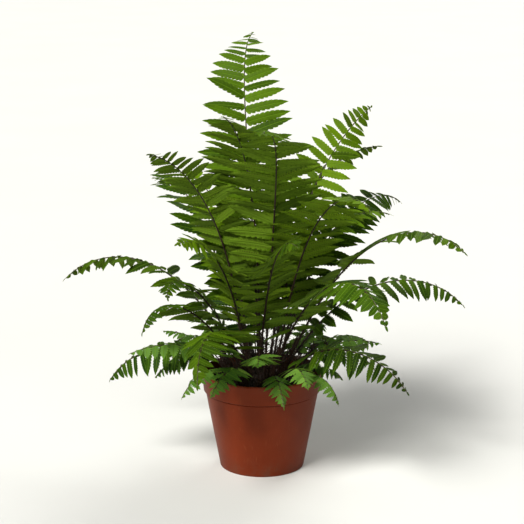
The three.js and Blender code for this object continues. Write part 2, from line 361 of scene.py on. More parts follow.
fill(tree, shader, {
    "Base Color": dusty, "Roughness": rough, "Specular IOR Level": 0.2,
    "Normal": bump(tree, grain, 0.12 * MM, 0.6),
})
pot.data.materials.append(pot_finish)
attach(pot, "root")
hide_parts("pot")

# %% [markdown]
# ## The soil
#
# Peat fills the pot to a finger's width below the rim. Its top is a low uneven mound, so the same
# formula that shapes the model's mound shapes a finer disc here, with two sizes of noise on top for
# the crumbly surface. Below the top it is a plain plug that follows the pot's inside.

# %% Soil sizes and its top
SOIL_EDGE = POT_HEIGHT - 10.0
SOIL_GAP = 0.3
SOIL_RADIUS = BAND_LOW_RADIUS - WALL - SOIL_GAP + 0.3
SOIL_RINGS = 34


def soil_height(x, y):
    edge = min(1.0, math.hypot(x, y) / RIM_RADIUS)
    lumps = math.sin(x * 0.31 + 1) * math.cos(y * 0.27) + math.sin(x * 0.13 - y * 0.19)
    return SOIL_EDGE + 5.0 * (1 - edge ** 2) + 0.55 * lumps


soil_profile = [
    (0, FLOOR_TOP + SOIL_GAP),
    (FOOT_RADIUS - WALL + 0.6 - SOIL_GAP, FLOOR_TOP + SOIL_GAP),
    (WALL_TOP_RADIUS - WALL - SOIL_GAP, BAND_BOTTOM),
    (BAND_LOW_RADIUS - WALL - SOIL_GAP, BAND_BOTTOM + 2.6),
    (SOIL_RADIUS, SOIL_EDGE),
]
soil_profile += [
    (SOIL_RADIUS * (1 - i / SOIL_RINGS), SOIL_EDGE + 1) for i in range(1, SOIL_RINGS)
]
soil_profile += [(0, SOIL_EDGE + 1)]
soil = turned("potting_peat", soil_profile, POT_SIDES)

# %% Crumbly surface
for vertex in soil.data.vertices:
    x, y, z = vertex.co / MM
    if z > SOIL_EDGE + 0.5:
        clods = fractal.noise(Vector((x, y, 3)) * 0.16)
        crumbs = fractal.noise(Vector((x, y, 9)) * 0.55)
        vertex.co.z = (soil_height(x, y) + clods * 0.9 + crumbs * 0.6 - 0.3) * MM
soil.data.shade_smooth()
print("soil faces:", len(soil.data.polygons))

# %% [markdown]
# Loose crumbs, bits of root and a few fibres lie on the peat. They are one small lump and one small
# twig, scattered over the upward faces by Geometry Nodes. The tree has named inputs for how many
# there are and how large they are, and a fixed seed, so every run scatters the same crumbs.

# %% A crumb and a root thread


def hidden_shape(name, mesh):
    """An object that only the node trees use: it isn't linked to the scene."""
    return bpy.data.objects.new(name, mesh_of(name, mesh))


lump = bmesh.new()
bmesh.ops.create_icosphere(lump, subdivisions=1, radius=1.0)
for vertex in lump.verts:
    vertex.co *= 1 + 0.35 * fractal.noise(vertex.co * 1.7 + Vector((4, 1, 7)))
    vertex.co.z *= 0.7
crumb = hidden_shape("crumb", lump)

strand = bmesh.new()
corners = []
for i in range(6):
    along = i / 5
    middle = Vector((along, 0.10 * math.sin(along * 5), 0.05 * math.sin(along * 7)))
    size = 0.030 * (1 - 0.7 * along)
    turns = [Vector((0, math.cos(a), math.sin(a))) * size for a in (0.0, 2.1, 4.2)]
    corners.append([strand.verts.new(middle + turn) for turn in turns])
for one, other in zip(corners, corners[1:]):
    for i in range(3):
        strand.faces.new([one[i], one[(i + 1) % 3], other[(i + 1) % 3], other[i]])
strand.faces.new(corners[0])
strand.faces.new(corners[-1])
bmesh.ops.recalc_face_normals(strand, faces=strand.faces)
thread = hidden_shape("root_thread", strand)
print("crumb faces:", len(crumb.data.polygons), "thread faces:", len(thread.data.polygons))

# %% Helpers for Geometry Nodes trees


def new_tree(name, **inputs):
    """A Geometry Nodes tree with a geometry input, the named inputs and a geometry output."""
    tree = bpy.data.node_groups.new(name, "GeometryNodeTree")
    tree.interface.new_socket("Geometry", in_out="INPUT", socket_type="NodeSocketGeometry")
    for label, kind in inputs.items():
        tree.interface.new_socket(label, in_out="INPUT", socket_type="NodeSocket" + kind)
    tree.interface.new_socket("Geometry", in_out="OUTPUT", socket_type="NodeSocketGeometry")
    return tree, put(tree, "NodeGroupInput").outputs


def add_nodes(piece, tree, **values):
    """Adds the tree as a modifier. Its inputs are set by each socket's identifier."""
    modifier = piece.modifiers.new(tree.name, "NODES")
    modifier.node_group = tree
    sockets = {s.name: s.identifier for s in tree.interface.items_tree if s.in_out == "INPUT"}
    for label, value in values.items():
        modifier[sockets[label]] = value


def joined(tree, *parts):
    node = put(tree, "GeometryNodeJoinGeometry")
    for part in parts:
        tree.links.new(part, node.inputs[0])
    return node.outputs[0]


def realized(tree, instances, finish):
    """Instances made real geometry, in one finish."""
    real = result(tree, "GeometryNodeRealizeInstances", {"Geometry": instances})
    inputs = {"Geometry": real, "Material": finish}
    return result(tree, "GeometryNodeSetMaterial", inputs)


def copies(tree, points, shape, rotation, scale, selection=True):
    """A copy of the shape at every selected point."""
    shape = put(tree, "GeometryNodeObjectInfo", {"Object": shape}).outputs["Geometry"]
    inputs = {"Points": points, "Selection": selection, "Instance": shape}
    inputs |= {"Rotation": rotation, "Scale": scale}
    return result(tree, "GeometryNodeInstanceOnPoints", inputs)


def random_between(tree, low, high, seed):
    inputs = {2: low, 3: high, "Seed": seed}
    return put(tree, "FunctionNodeRandomValue", inputs, data_type="FLOAT").outputs[1]


def random_turn(tree, low, high, seed, share=1.0):
    """A random rotation: angles about X, Y and Z between two limits, times a share."""
    inputs = {0: low, 1: high, "Seed": seed}
    turn = result(tree, "FunctionNodeRandomValue", inputs, data_type="FLOAT_VECTOR")
    inputs = {0: turn, "Scale": share}
    turn = result(tree, "ShaderNodeVectorMath", inputs, operation="SCALE")
    return result(tree, "FunctionNodeEulerToRotation", {0: turn})


# %% Scatter tree
scatter, given = new_tree(
    "scatter_on_soil", shape="Object", per_square_metre="Float", smallest="Float",
    largest="Float", seed="Int", finish="Material",
)
normal_z, place_z = (
    put(scatter, "ShaderNodeSeparateXYZ", {0: result(scatter, kind)}).outputs[2]
    for kind in ("GeometryNodeInputNormal", "GeometryNodeInputPosition")
)
facing_up = calc(scatter, "GREATER_THAN", normal_z, 0.6)
above_plug = calc(scatter, "GREATER_THAN", place_z, (SOIL_EDGE - 3) * MM)
spots = result(
    scatter, "GeometryNodeDistributePointsOnFaces",
    {"Mesh": given["Geometry"], "Selection": times(scatter, facing_up, above_plug),
     "Density": given["per_square_metre"], "Seed": given["seed"]},
)
turn = random_turn(scatter, (-0.5, -0.5, 0.0), (0.5, 0.5, math.tau), given["seed"])
size = random_between(scatter, given["smallest"], given["largest"], given["seed"])
bits = copies(scatter, spots, given["shape"], turn, size)
put(scatter, "NodeGroupOutput", {0: realized(scatter, bits, given["finish"])})
print("scatter tree nodes:", len(scatter.nodes))

# %% [markdown]
# Damp peat is almost black-brown, with lighter dry crumbs and reddish fibres. It is fully matte,
# apart from a faint sheen where it is wet, and its bump has two scales: crumbs and fine grit.

# %% Soil finishes


def earth(name, dark, light, scale, depth):
    material, tree, shader = new_material(name)
    place = object_place(tree)
    patch = ramp(tree, noise(tree, place, scale, 6, 0.65), 0.42, 0.70)
    damp = ramp(tree, noise(tree, place, scale * 0.2), 0.3, 0.6)
    coarse = noise(tree, place, scale * 0.8, 6, 0.7)
    fine = times(tree, noise(tree, place, scale * 5, 2), 0.35)
    fill(tree, shader, {
        "Base Color": blend_colours(tree, patch, dark, light),
        "Roughness": calc(tree, "MULTIPLY_ADD", damp, 0.2, 0.78), "Specular IOR Level": 0.25,
        "Normal": bump(tree, calc(tree, "ADD", coarse, fine), depth, 0.9),
    })
    return material


peat_finish = earth("damp_peat", (0.010, 0.007, 0.005, 1), (0.040, 0.026, 0.017, 1), 420, 0.0012)
crumb_finish = earth("peat_crumbs", (0.016, 0.010, 0.007, 1), (0.070, 0.043, 0.026, 1), 500, 0.0006)
fibre_finish = earth("root_fibres", (0.060, 0.030, 0.016, 1), (0.150, 0.085, 0.045, 1), 600, 0.0003)
soil.data.materials.append(peat_finish)

# %% Scatter the crumbs and threads


def scattered(name, **values):
    """A new piece: copies of a small shape all over the soil's top."""
    piece = added(name, soil.data.copy())
    add_nodes(piece, scatter, **values)
    settle(piece)
    return piece


crumbs = scattered(
    "peat_crumbs", shape=crumb, finish=crumb_finish, per_square_metre=130000.0, smallest=0.0005,
    largest=0.0019, seed=3,
)
threads = scattered(
    "root_threads", shape=thread, finish=fibre_finish, per_square_metre=16000.0, smallest=0.004,
    largest=0.013, seed=8,
)
crumbs.data.shade_smooth()
for piece in (soil, crumbs, threads):
    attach(piece, "root")
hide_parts("potting_soil")
print("crumb faces:", len(crumbs.data.polygons), "thread faces:", len(threads.data.polygons))

# %% [markdown]
# ## How the fronds grow
#
# A fern's fronds rise from one crown in a spiral: each stands 137.5 degrees round from the last, so
# that none shades another. The oldest are outermost, short and bent low, and the youngest are
# innermost, long and upright. The model draws each frond's length, lean, sweep and twist at random
# from a seed, and draws again until the frond is clear of all the others. One that finds no room
# grows smaller. The same numbers are drawn here, and the draw whose box is the node's box is the
# one that the model kept. So each detailed frond lies exactly where the model's plain one does.

# %% The two kinds of frond
GOLDEN_ANGLE = 137.508
MOST_DRAWS = 240
CALMEST_DRAW = 60
CROWDED_DRAW = 96
MOST_STUNTING = 0.45
LEAST_FREEDOM = 0.05
FROND_SEED, DRAW_SEED = 7919, 104729

CROWN = dict(
    name="frond", fronds=26, first_heading=50, foot_radius=(27, 4),
    length=(150, 330, 345), lean_at_soil=(46, 20, 4), lean_at_tip=(155, 120, 70),
    bend=(1.1, 2.8, 3), bare_stem=(0.2, 0.25, 0.36), half_width=(32, 48, 54), pairs=(8, 12, 12),
    stem_width=2.4, vary=dict(heading=12, length=0.12, lean=6, sweep=44, twist=36),
)
EDGE = dict(
    name="young_frond", fronds=27, first_heading=40, foot_radius=(42, 30),
    length=(86, 108, 124), lean_at_soil=(30, 26, 18), lean_at_tip=(165, 130, 70),
    bend=(1.1, 1, 1), bare_stem=(0.3, 0.32, 0.34), half_width=(18, 22, 25), pairs=(5, 5, 5),
    stem_width=1.5, vary=dict(heading=9, length=0.14, lean=6, sweep=24, twist=16),
)


def between(three, t):
    outer, middle, inner = three
    if t < 0.5:
        return outer + (middle - outer) * 2 * t
    return middle + (inner - middle) * (2 * t - 1)


def random_from(seed):
    state = seed % 2 ** 32
    for _ in range(4):
        state = (state * 1664525 + 1013904223) % 2 ** 32
    while True:
        state = (state * 1664525 + 1013904223) % 2 ** 32
        yield state / 2 ** 32


# %% One draw of one frond


def frond_plan(kind, index, attempt):
    t = index / (kind["fronds"] - 1)
    draw = random_from(index * FROND_SEED + attempt * DRAW_SEED + kind["fronds"])
    freedom = LEAST_FREEDOM + abs(1 - attempt / CALMEST_DRAW)
    stunted = 1 - MOST_STUNTING * max(0, attempt - CROWDED_DRAW) / (MOST_DRAWS - CROWDED_DRAW)

    def vary(amount):
        return (next(draw) * 2 - 1) * amount * freedom

    def here(label):
        return between(kind[label], t)

    amounts = kind["vary"]
    angle = kind["first_heading"] + index * GOLDEN_ANGLE
    heading = angle + vary(amounts["heading"])
    outer_foot, inner_foot = kind["foot_radius"]
    foot_radius = inner_foot + (outer_foot - inner_foot) * math.sqrt(1 - t)
    foot = around(math.radians(angle), foot_radius)
    foot.z = soil_height(foot.x, foot.y)
    return dict(
        rank=t, foot=foot, heading=heading,
        length=here("length") * (1 + vary(amounts["length"])) * stunted,
        lean_at_soil=here("lean_at_soil") + vary(amounts["lean"] / 3),
        lean_at_tip=here("lean_at_tip") + vary(amounts["lean"] * 2),
        bend=here("bend"), sweep=vary(amounts["sweep"]), twist=vary(amounts["twist"]),
        bare_stem=here("bare_stem"), half_width=here("half_width") * stunted,
        pairs=math.floor(here("pairs") + 0.5), stem_width=kind["stem_width"],
    )


def smooth_step(value, low, high):
    share = min(1.0, max(0.0, (value - low) / (high - low)))
    return share * share * (3 - 2 * share)


UPRIGHT_SHARE = 0.06
PATH_STEPS = 48


def directions(plan, share):
    """At a share of the length: along, left, out of the face, and how upright the frond is."""
    start = smooth_step(share, 0, UPRIGHT_SHARE)
    turn = (plan["lean_at_tip"] - plan["lean_at_soil"]) * share ** plan["bend"]
    lean = math.radians(plan["lean_at_soil"] * start + turn)
    heading = math.radians(plan["heading"] + plan["sweep"] * share ** 2)
    out = around(heading)
    along = out * math.sin(lean) + Vector((0, 0, math.cos(lean)))
    left = Vector((-out.y, out.x, 0))
    left = Matrix.Rotation(math.radians(plan["twist"]) * share, 3, along) @ left
    return along, left, along.cross(left), math.cos(lean)


def path_of(plan):
    points = [plan["foot"].copy()]
    for i in range(PATH_STEPS):
        along = directions(plan, (i + 0.5) / PATH_STEPS)[0]
        points.append(points[-1] + along * (plan["length"] / PATH_STEPS))
    return points


def point_on(path, share):
    place = min(share, 1) * PATH_STEPS
    i = min(int(place), PATH_STEPS - 1)
    return path[i].lerp(path[i + 1], place - i)


# %% [markdown]
# The leaflets follow the blade's outline: long near the base, longest a little further up, and
# short towards the tip, where they also stand closer. Their two rows rise a little from the rib
# where the frond stands upright, as if the blade were rolled round the plant's middle, and hang
# where it bends over.

# %% The blade's rule
HANG = 0.35
LEAST_CUP, MOST_CUP = -0.65, 0.4
CUP_FROM, CUP_TO = 25, 70
SLANT = (3, 30)
LAST_STATION = 0.985
CROWDING = 0.3


def blade_share(k, n):
    v = k / n
    return v * (1 + CROWDING * (1 - v)) * LAST_STATION


def outline(x):
    return min(1, 0.76 + 0.8 * x) * (1 - x ** 2.8)


def leaflet_slant(x):
    return math.radians(SLANT[0] + (SLANT[1] - SLANT[0]) * x)


def leaflet_cup(centre, reach, rise):
    radius = math.hypot(centre.x, centre.y)
    curl = smooth_step(radius, CUP_FROM, CUP_TO) / max(radius, 1)
    return max(LEAST_CUP, min(MOST_CUP, curl * reach * rise / 2 - HANG * (1 - rise)))


def leaflet_way(side, slant, cup, along, left, face):
    flat = left * (side * math.cos(slant)) + along * math.sin(slant)
    return flat * math.cos(cup) + face * math.sin(cup)


# %% The model's plain frond, as points
PLAIN_THICKNESS = 0.7
PLAIN_DROOP = 0.1
PLAIN_END = 0.12
LEAFLET_CORNERS = ((1, 0.92), (0.86, 0.32))
RIB_DEPTH = 0.9
LEAST_RIB = 1.0
TAPER = 0.6
STALK_DEPTH = 12.7


def plain_points(plan):
    """The corners of the model's frond, for its box."""
    path = path_of(plan)
    points = []

    def ring(centre, left, face, share):
        taper = 1 - TAPER * share
        half = plan["stem_width"] / 2 * taper
        keel = max(plan["stem_width"] * RIB_DEPTH * taper, LEAST_RIB)
        under = PLAIN_THICKNESS
        for side, down in ((-half, 0), (half, 0), (half, under), (0, keel), (-half, under)):
            points.append(centre + left * side - face * down)

    _, left, face, _ = directions(plan, 0)
    ring(plan["foot"] - Vector((0, 0, STALK_DEPTH)), left, face, 0)
    ring(plan["foot"], left, face, 0)
    stations = []
    for k in range(plan["pairs"] + 1):
        x = blade_share(k, plan["pairs"])
        share = plan["bare_stem"] + (1 - plan["bare_stem"]) * x
        along, left, face, rise = directions(plan, share)
        centre = point_on(path, share)
        ring(centre, left, face, share)
        stations.append((x, centre, along, left, face, rise))
    for one, other in zip(stations, stations[1:]):
        x = (one[0] + other[0]) / 2
        _, centre, along, left, face, rise = one
        reach = plan["half_width"] * outline(x)
        spacing = (one[1] - other[1]).length
        cup = leaflet_cup(centre, reach, rise)
        for side in (1, -1):
            way = leaflet_way(side, leaflet_slant(x), cup, along, left, face)
            for far, forward in LEAFLET_CORNERS:
                place = centre + way * far * reach + along * forward * spacing
                place = place - face * (PLAIN_DROOP * reach * far ** 2)
                points.extend([place, place - face * PLAIN_THICKNESS])
    _, centre, along, *_ = stations[-1]
    points.append(centre + along * plan["half_width"] * PLAIN_END)
    return points


# %% The draw that the model kept
SAME_BOX = 0.05


def box_gap(points, low, high):
    """How far the points' box and a node's box differ, in millimetres."""
    gap = 0
    for places, least, most in zip(zip(*points), low, high):
        gap = max(gap, abs(min(places) - least / MM), abs(max(places) - most / MM))
    return gap


def kept_plan(kind, index, node):
    """The draw whose plain frond has the node's own box, and how far the two boxes differ."""
    low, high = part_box(node)
    for attempt in range(MOST_DRAWS):
        plan = frond_plan(kind, index, attempt)
        gap = box_gap(plain_points(plan), low, high)
        if gap < SAME_BOX:
            return plan, gap
    raise ValueError(f"no draw fits {node}")


# %% Find every frond's draw
plans = []
for kind in (CROWN, EDGE):
    for index in range(kind["fronds"]):
        node = f"{kind['name']}_{index + 1:02d}"
        plan, gap = kept_plan(kind, index, node)
        plans.append((kind, node, plan, gap))
print("fronds found:", len(plans), "largest difference, mm:", round(max(p[3] for p in plans), 4))

# %% [markdown]
# ## A leaflet
#
# Each leaflet is a long leaf with shallow lobes along both edges, a sunken midrib and a slightly
# arched blade. It repeats over a thousand times, so it has only a few dozen faces: a row beside the
# midrib, and one many-sided face for each lobe. The upper and the lower surface meet along the
# edge, so the leaf is a closed solid that thins to a real edge, and that edge is marked sharp, so
# each surface keeps its own shading. A UV map and a face attribute for the underside let the
# material draw the veins and pale the back. The leaflets of the two rows are mirror images, built
# as two meshes, because scaling one by -1 would turn its faces inside out.

# %% Leaflet maker
BLADE_THICKNESS = 0.012
DROOP = 0.13
TIP_BEND = 0.2
BASE_WIDTH = 0.62
LOBE_POINTS = ((0, 1), (0.40, 0.15), (0.85, -0.1))


def half_width(u, taper_from):
    """Half the leaflet's width at u, in widths: a blunt base, parallel edges and a pointed tip."""
    widening = min(1.0, BASE_WIDTH + (1 - BASE_WIDTH) * (u / 0.10) ** 0.6)
    narrowing = 1 - (max(0.0, u - taper_from) / (1 - taper_from)) ** 1.9
    return 0.5 * widening * narrowing


def leaflet(name, lobes, cut, taper_from, hand, arch):
    """A leaflet of length 1 along X and width 1 along Y. Its tip bends towards hand * Y."""
    mesh = bmesh.new()
    uv_map = mesh.loops.layers.uv.new("UVMap")
    underside = mesh.faces.layers.float.new("under")
    across_of = {}

    def corner(u, v, down=0.0):
        fold = arch * math.sin(min(abs(v) * 2, 1.0) * math.pi) * (1 - u / 2)
        bend = hand * TIP_BEND * u ** 2
        vertex = mesh.verts.new((u, v + bend, fold - DROOP * u ** 2 - down))
        across_of[vertex] = (u, 0.5 + v * hand)
        return vertex

    def surface_line(share_of_width, side, down):
        """The points between the lobes, from the base to the tip, at a share of the width."""
        steps = [i / lobes for i in range(1, lobes)]
        across = side * share_of_width
        return [base, *(corner(u, across * half_width(u, taper_from), down) for u in steps), tip]

    def edge_line(side):
        """Each lobe's notch, shoulder and point, along one edge."""
        line = []
        for i in range(lobes):
            depth = cut * (1 - 0.4 * i / lobes)
            for step, inset in LOBE_POINTS:
                u = (i + step) / lobes
                wide = half_width(u, taper_from) * (1 - depth * inset)
                line.append(corner(u, side * wide) if u else base)
        return [*line, tip]

    base, tip = corner(0, 0), corner(1, 0)
    edges = {side: edge_line(side) for side in (1, -1)}
    for under, down in ((0.0, 0.0), (1.0, BLADE_THICKNESS)):
        midrib = surface_line(0, 1, down)
        for side in (1, -1):
            halfway = surface_line(0.5, side, down * 0.6)
            for i in range(lobes):
                near = [midrib[i], midrib[i + 1], halfway[i + 1], halfway[i]]
                lobe = [halfway[i], halfway[i + 1], *reversed(edges[side][3 * i:3 * i + 4])]
                for ring in (near, lobe):
                    ring = list(dict.fromkeys(ring))
                    if (side > 0) == (under > 0):
                        ring.reverse()
                    face = mesh.faces.new(ring)
                    face.smooth = True
                    face[underside] = under
                    for loop in face.loops:
                        loop[uv_map].uv = across_of[loop.vert]
    rim = {vertex for line in edges.values() for vertex in line}
    for edge in mesh.edges:
        edge.smooth = not rim.issuperset(edge.verts)
    assert all(edge.is_manifold for edge in mesh.edges)
    return hidden_shape(name, mesh)


# %% The leaflets that the fronds use
LEAFLETS = {
    "frond": [
        leaflet(f"leaflet_{h}", lobes=9, cut=0.22, taper_from=0.52, hand=h, arch=0.034)
        for h in (1, -1)
    ],
    "young_frond": [
        leaflet(f"young_leaflet_{h}", lobes=6, cut=0.46, taper_from=0.30, hand=h, arch=0.020)
        for h in (1, -1)
    ],
}
for shapes in LEAFLETS.values():
    print(shapes[0].name, "faces:", len(shapes[0].data.polygons))

# %% [markdown]
# The stalks of this fern are shaggy with narrow dark scales, thickest near the soil. One scale is
# a sliver of seven faces, flat and pointed.

# %% A scale of the stalk
sliver = bmesh.new()
sliver_edge = [(0, -0.09), (0.45, -0.07), (1, 0), (0.45, 0.07), (0, 0.09)]
top, low = (
    [sliver.verts.new((x, y, 0.10 * x * x + rise)) for x, y in sliver_edge]
    for rise in (0.03, -0.02)
)
sliver.faces.new(top)
sliver.faces.new(reversed(low))
for i in range(5):
    j = (i + 1) % 5
    sliver.faces.new([top[j], top[i], low[i], low[j]])
bmesh.ops.recalc_face_normals(sliver, faces=sliver.faces)
stalk_scale = hidden_shape("stalk_scale", sliver)

# %% [markdown]
# ## The frond tree
#
# The frond is a rule, so Geometry Nodes make it. Its input is a bare path with facts stored at each
# point: which way is along, left and out of the face, how far the leaflets reach there, and how far
# apart they are. The tree turns the path into a tapered stalk, puts a leaflet at each point on both
# sides, turns and sizes each a little at random, ends the frond in one more leaflet, and sets the
# scales on the bare part of the stalk. A number for each leaflet is kept for its colour.

# %% Parts of the frond tree


def fact(tree, name, kind="FLOAT"):
    node = put(tree, "GeometryNodeInputNamedAttribute", {"Name": name}, data_type=kind)
    return node.outputs["Attribute"]


def vector_sum(tree, *weighted):
    """The sum of vectors, each times its own number."""

    def step(operation, inputs):
        return result(tree, "ShaderNodeVectorMath", inputs, operation=operation)

    total = (0.0, 0.0, 0.0)
    for vector, weight in weighted:
        total = step("ADD", {0: total, 1: step("SCALE", {0: vector, "Scale": weight})})
    return total


def facing(tree, along_x, along_z):
    """The rotation that points X one way and Z as near as it can to another."""
    axes = dict(primary_axis="X", secondary_axis="Z")
    return result(tree, "FunctionNodeAxesToRotation", {0: along_x, 1: along_z}, **axes)


def turned_a_little(tree, rotation, by):
    inputs = {"Rotation": rotation, "Rotate By": by}
    return result(tree, "FunctionNodeRotateRotation", inputs, rotation_space="LOCAL")


def moved(tree, geometry, offset):
    return result(tree, "GeometryNodeSetPosition", {"Geometry": geometry, "Offset": offset})


def size_of(tree, x, y, z):
    return result(tree, "ShaderNodeCombineXYZ", {0: x, 1: y, 2: z})


def store(tree, geometry, name, value, domain):
    inputs = {"Geometry": geometry, "Name": name, "Value": value}
    settings = dict(data_type="FLOAT", domain=domain)
    return result(tree, "GeometryNodeStoreNamedAttribute", inputs, **settings)


# %% The tree's inputs and the facts it reads
growth, given = new_tree(
    "fern_growth", left_leaflet="Object", right_leaflet="Object", stalk_scale="Object",
    leaflet_width="Float", unevenness="Float", stagger="Float", scales_per_square_metre="Float",
    scale_length="Float", youth="Float", coolness="Float", seed="Int", leaf="Material",
    stalk="Material", scale="Material",
)
along, left, face = (fact(growth, name, "FLOAT_VECTOR") for name in ("along", "left", "face"))
slant, cup, reach, spacing = (fact(growth, name) for name in ("slant", "cup", "reach", "spacing"))
shown = calc(growth, "GREATER_THAN", reach, 0.0)

# %% Two rows of leaflets
LEAST_TURN, MOST_TURN = (-1.2, -0.7, -0.5), (1.2, 0.5, 0.5)
rows = []
for side, shape, offset in ((1, "left_leaflet", 0), (-1, "right_leaflet", 50)):
    own_seed = calc(growth, "ADD", given["seed"], offset)
    sideways = times(growth, calc(growth, "COSINE", slant), side)
    flat = vector_sum(growth, (left, sideways), (along, calc(growth, "SINE", slant)))
    outward = vector_sum(
        growth, (flat, calc(growth, "COSINE", cup)), (face, calc(growth, "SINE", cup))
    )
    wobble = random_turn(growth, LEAST_TURN, MOST_TURN, own_seed, given["unevenness"])
    length = times(growth, reach, random_between(growth, 0.93, 1.0, own_seed))
    thinner = random_between(growth, 0.88, 1.08, own_seed)
    width = times(growth, spacing, given["leaflet_width"], thinner)
    shift = vector_sum(growth, (along, times(growth, spacing, given["stagger"], side)))
    row = copies(
        growth, moved(growth, given["Geometry"], shift), given[shape],
        turned_a_little(growth, facing(growth, outward, face), wobble),
        size_of(growth, length, width, length), shown,
    )
    rows.append(store(growth, row, "tint", random_between(growth, 0.0, 1.0, own_seed), "INSTANCE"))

# %% The last leaflet
end_length = fact(growth, "end_length")
last = copies(
    growth, given["Geometry"], given["left_leaflet"], facing(growth, along, face),
    size_of(growth, end_length, times(growth, end_length, 0.42), end_length),
    calc(growth, "GREATER_THAN", end_length, 0.0),
)
rows.append(store(growth, last, "tint", 0.5, "INSTANCE"))
blade = realized(growth, joined(growth, *rows), given["leaf"])

# %% The stalk
stalk_radius = fact(growth, "stalk_radius")
below_face = vector_sum(growth, (face, times(growth, stalk_radius, -1.0)))
sunk = moved(growth, given["Geometry"], below_face)
stalk_line = result(growth, "GeometryNodeMeshToCurve", {"Mesh": sunk})
ring = result(growth, "GeometryNodeCurvePrimitiveCircle", {"Resolution": 8, "Radius": 1.0})
stalk = result(
    growth, "GeometryNodeCurveToMesh",
    {"Curve": stalk_line, "Profile Curve": ring, "Scale": stalk_radius, "Fill Caps": True},
)
stalk = result(growth, "GeometryNodeSetShadeSmooth", {"Geometry": stalk})
inputs = {"Geometry": stalk, "Material": given["stalk"]}
stalk = result(growth, "GeometryNodeSetMaterial", inputs)

# %% The scales on the stalk
scale_density = times(growth, given["scales_per_square_metre"], fact(growth, "shagginess"))
spots, outward, _ = put(
    growth, "GeometryNodeDistributePointsOnFaces",
    {"Mesh": stalk, "Seed": given["seed"], "Density": scale_density},
).outputs
scale_spread = random_between(growth, 0.15, 1.1, given["seed"])
scale_way = vector_sum(growth, (along, 1.0), (outward, scale_spread))
scale_share = random_between(growth, 0.5, 1.0, given["seed"])
scales = copies(
    growth, spots, given["stalk_scale"], facing(growth, scale_way, outward),
    times(growth, given["scale_length"], scale_share),
)
for label in ("youth", "coolness"):
    blade = store(growth, blade, label, given[label], "POINT")
whole = joined(growth, realized(growth, scales, given["scale"]), stalk, blade)
put(growth, "NodeGroupOutput", {0: whole})
print("frond tree nodes:", len(growth.nodes))

# %% [markdown]
# ## Leaf, stalk and scale finishes
#
# A fern leaf is satin, darker above than below, and it lets light through, so a leaf with the
# light behind it glows yellow-green. The shader is mostly Principled, with a share of Translucent.
# Colour varies at three scales: each frond by its age and by how cool its green is, each leaflet
# by its own number, and each blade by its veins, with a pale midrib, side veins and soft blotches
# between them. The underside is paler and greyer, with brown dots where the spores ripen. Some
# leaflets are browned at the tip.

# %% Leaf pattern from the UV map
DOTS_A_ROW = 18.0
DOT_ROW_PLACE = 0.42
COOL_GREEN = (0.030, 0.095, 0.009, 1)
VEIN_GREEN = (0.18, 0.32, 0.02, 1)
TIP_BROWN = (0.16, 0.09, 0.03, 1)
UNDERSIDE_GREEN = (0.24, 0.36, 0.040, 1)
SPORE_BROWN = (0.075, 0.036, 0.014, 1)
GLOW_SHARE = 0.32


def spore_dots(tree, u, from_rib, tint, place):
    """A row of faint, uneven brown dots along each side of the midrib, on some of the leaflets."""
    beside = calc(tree, "SUBTRACT", calc(tree, "FRACT", times(tree, u, DOTS_A_ROW)), 0.5)
    outward = times(tree, calc(tree, "SUBTRACT", from_rib, DOT_ROW_PLACE), 2.2)
    squares = calc(tree, "ADD", times(tree, beside, beside), times(tree, outward, outward))
    distance = calc(tree, "SQRT", squares)
    distance = calc(tree, "MULTIPLY_ADD", noise(tree, place, 600, 2), 0.35, distance)
    dots = times(tree, ramp(tree, distance, 0.48, 0.36), ramp(tree, u, 0.88, 0.80))
    return times(tree, dots, ramp(tree, tint, 0.55, 0.75), 0.55)


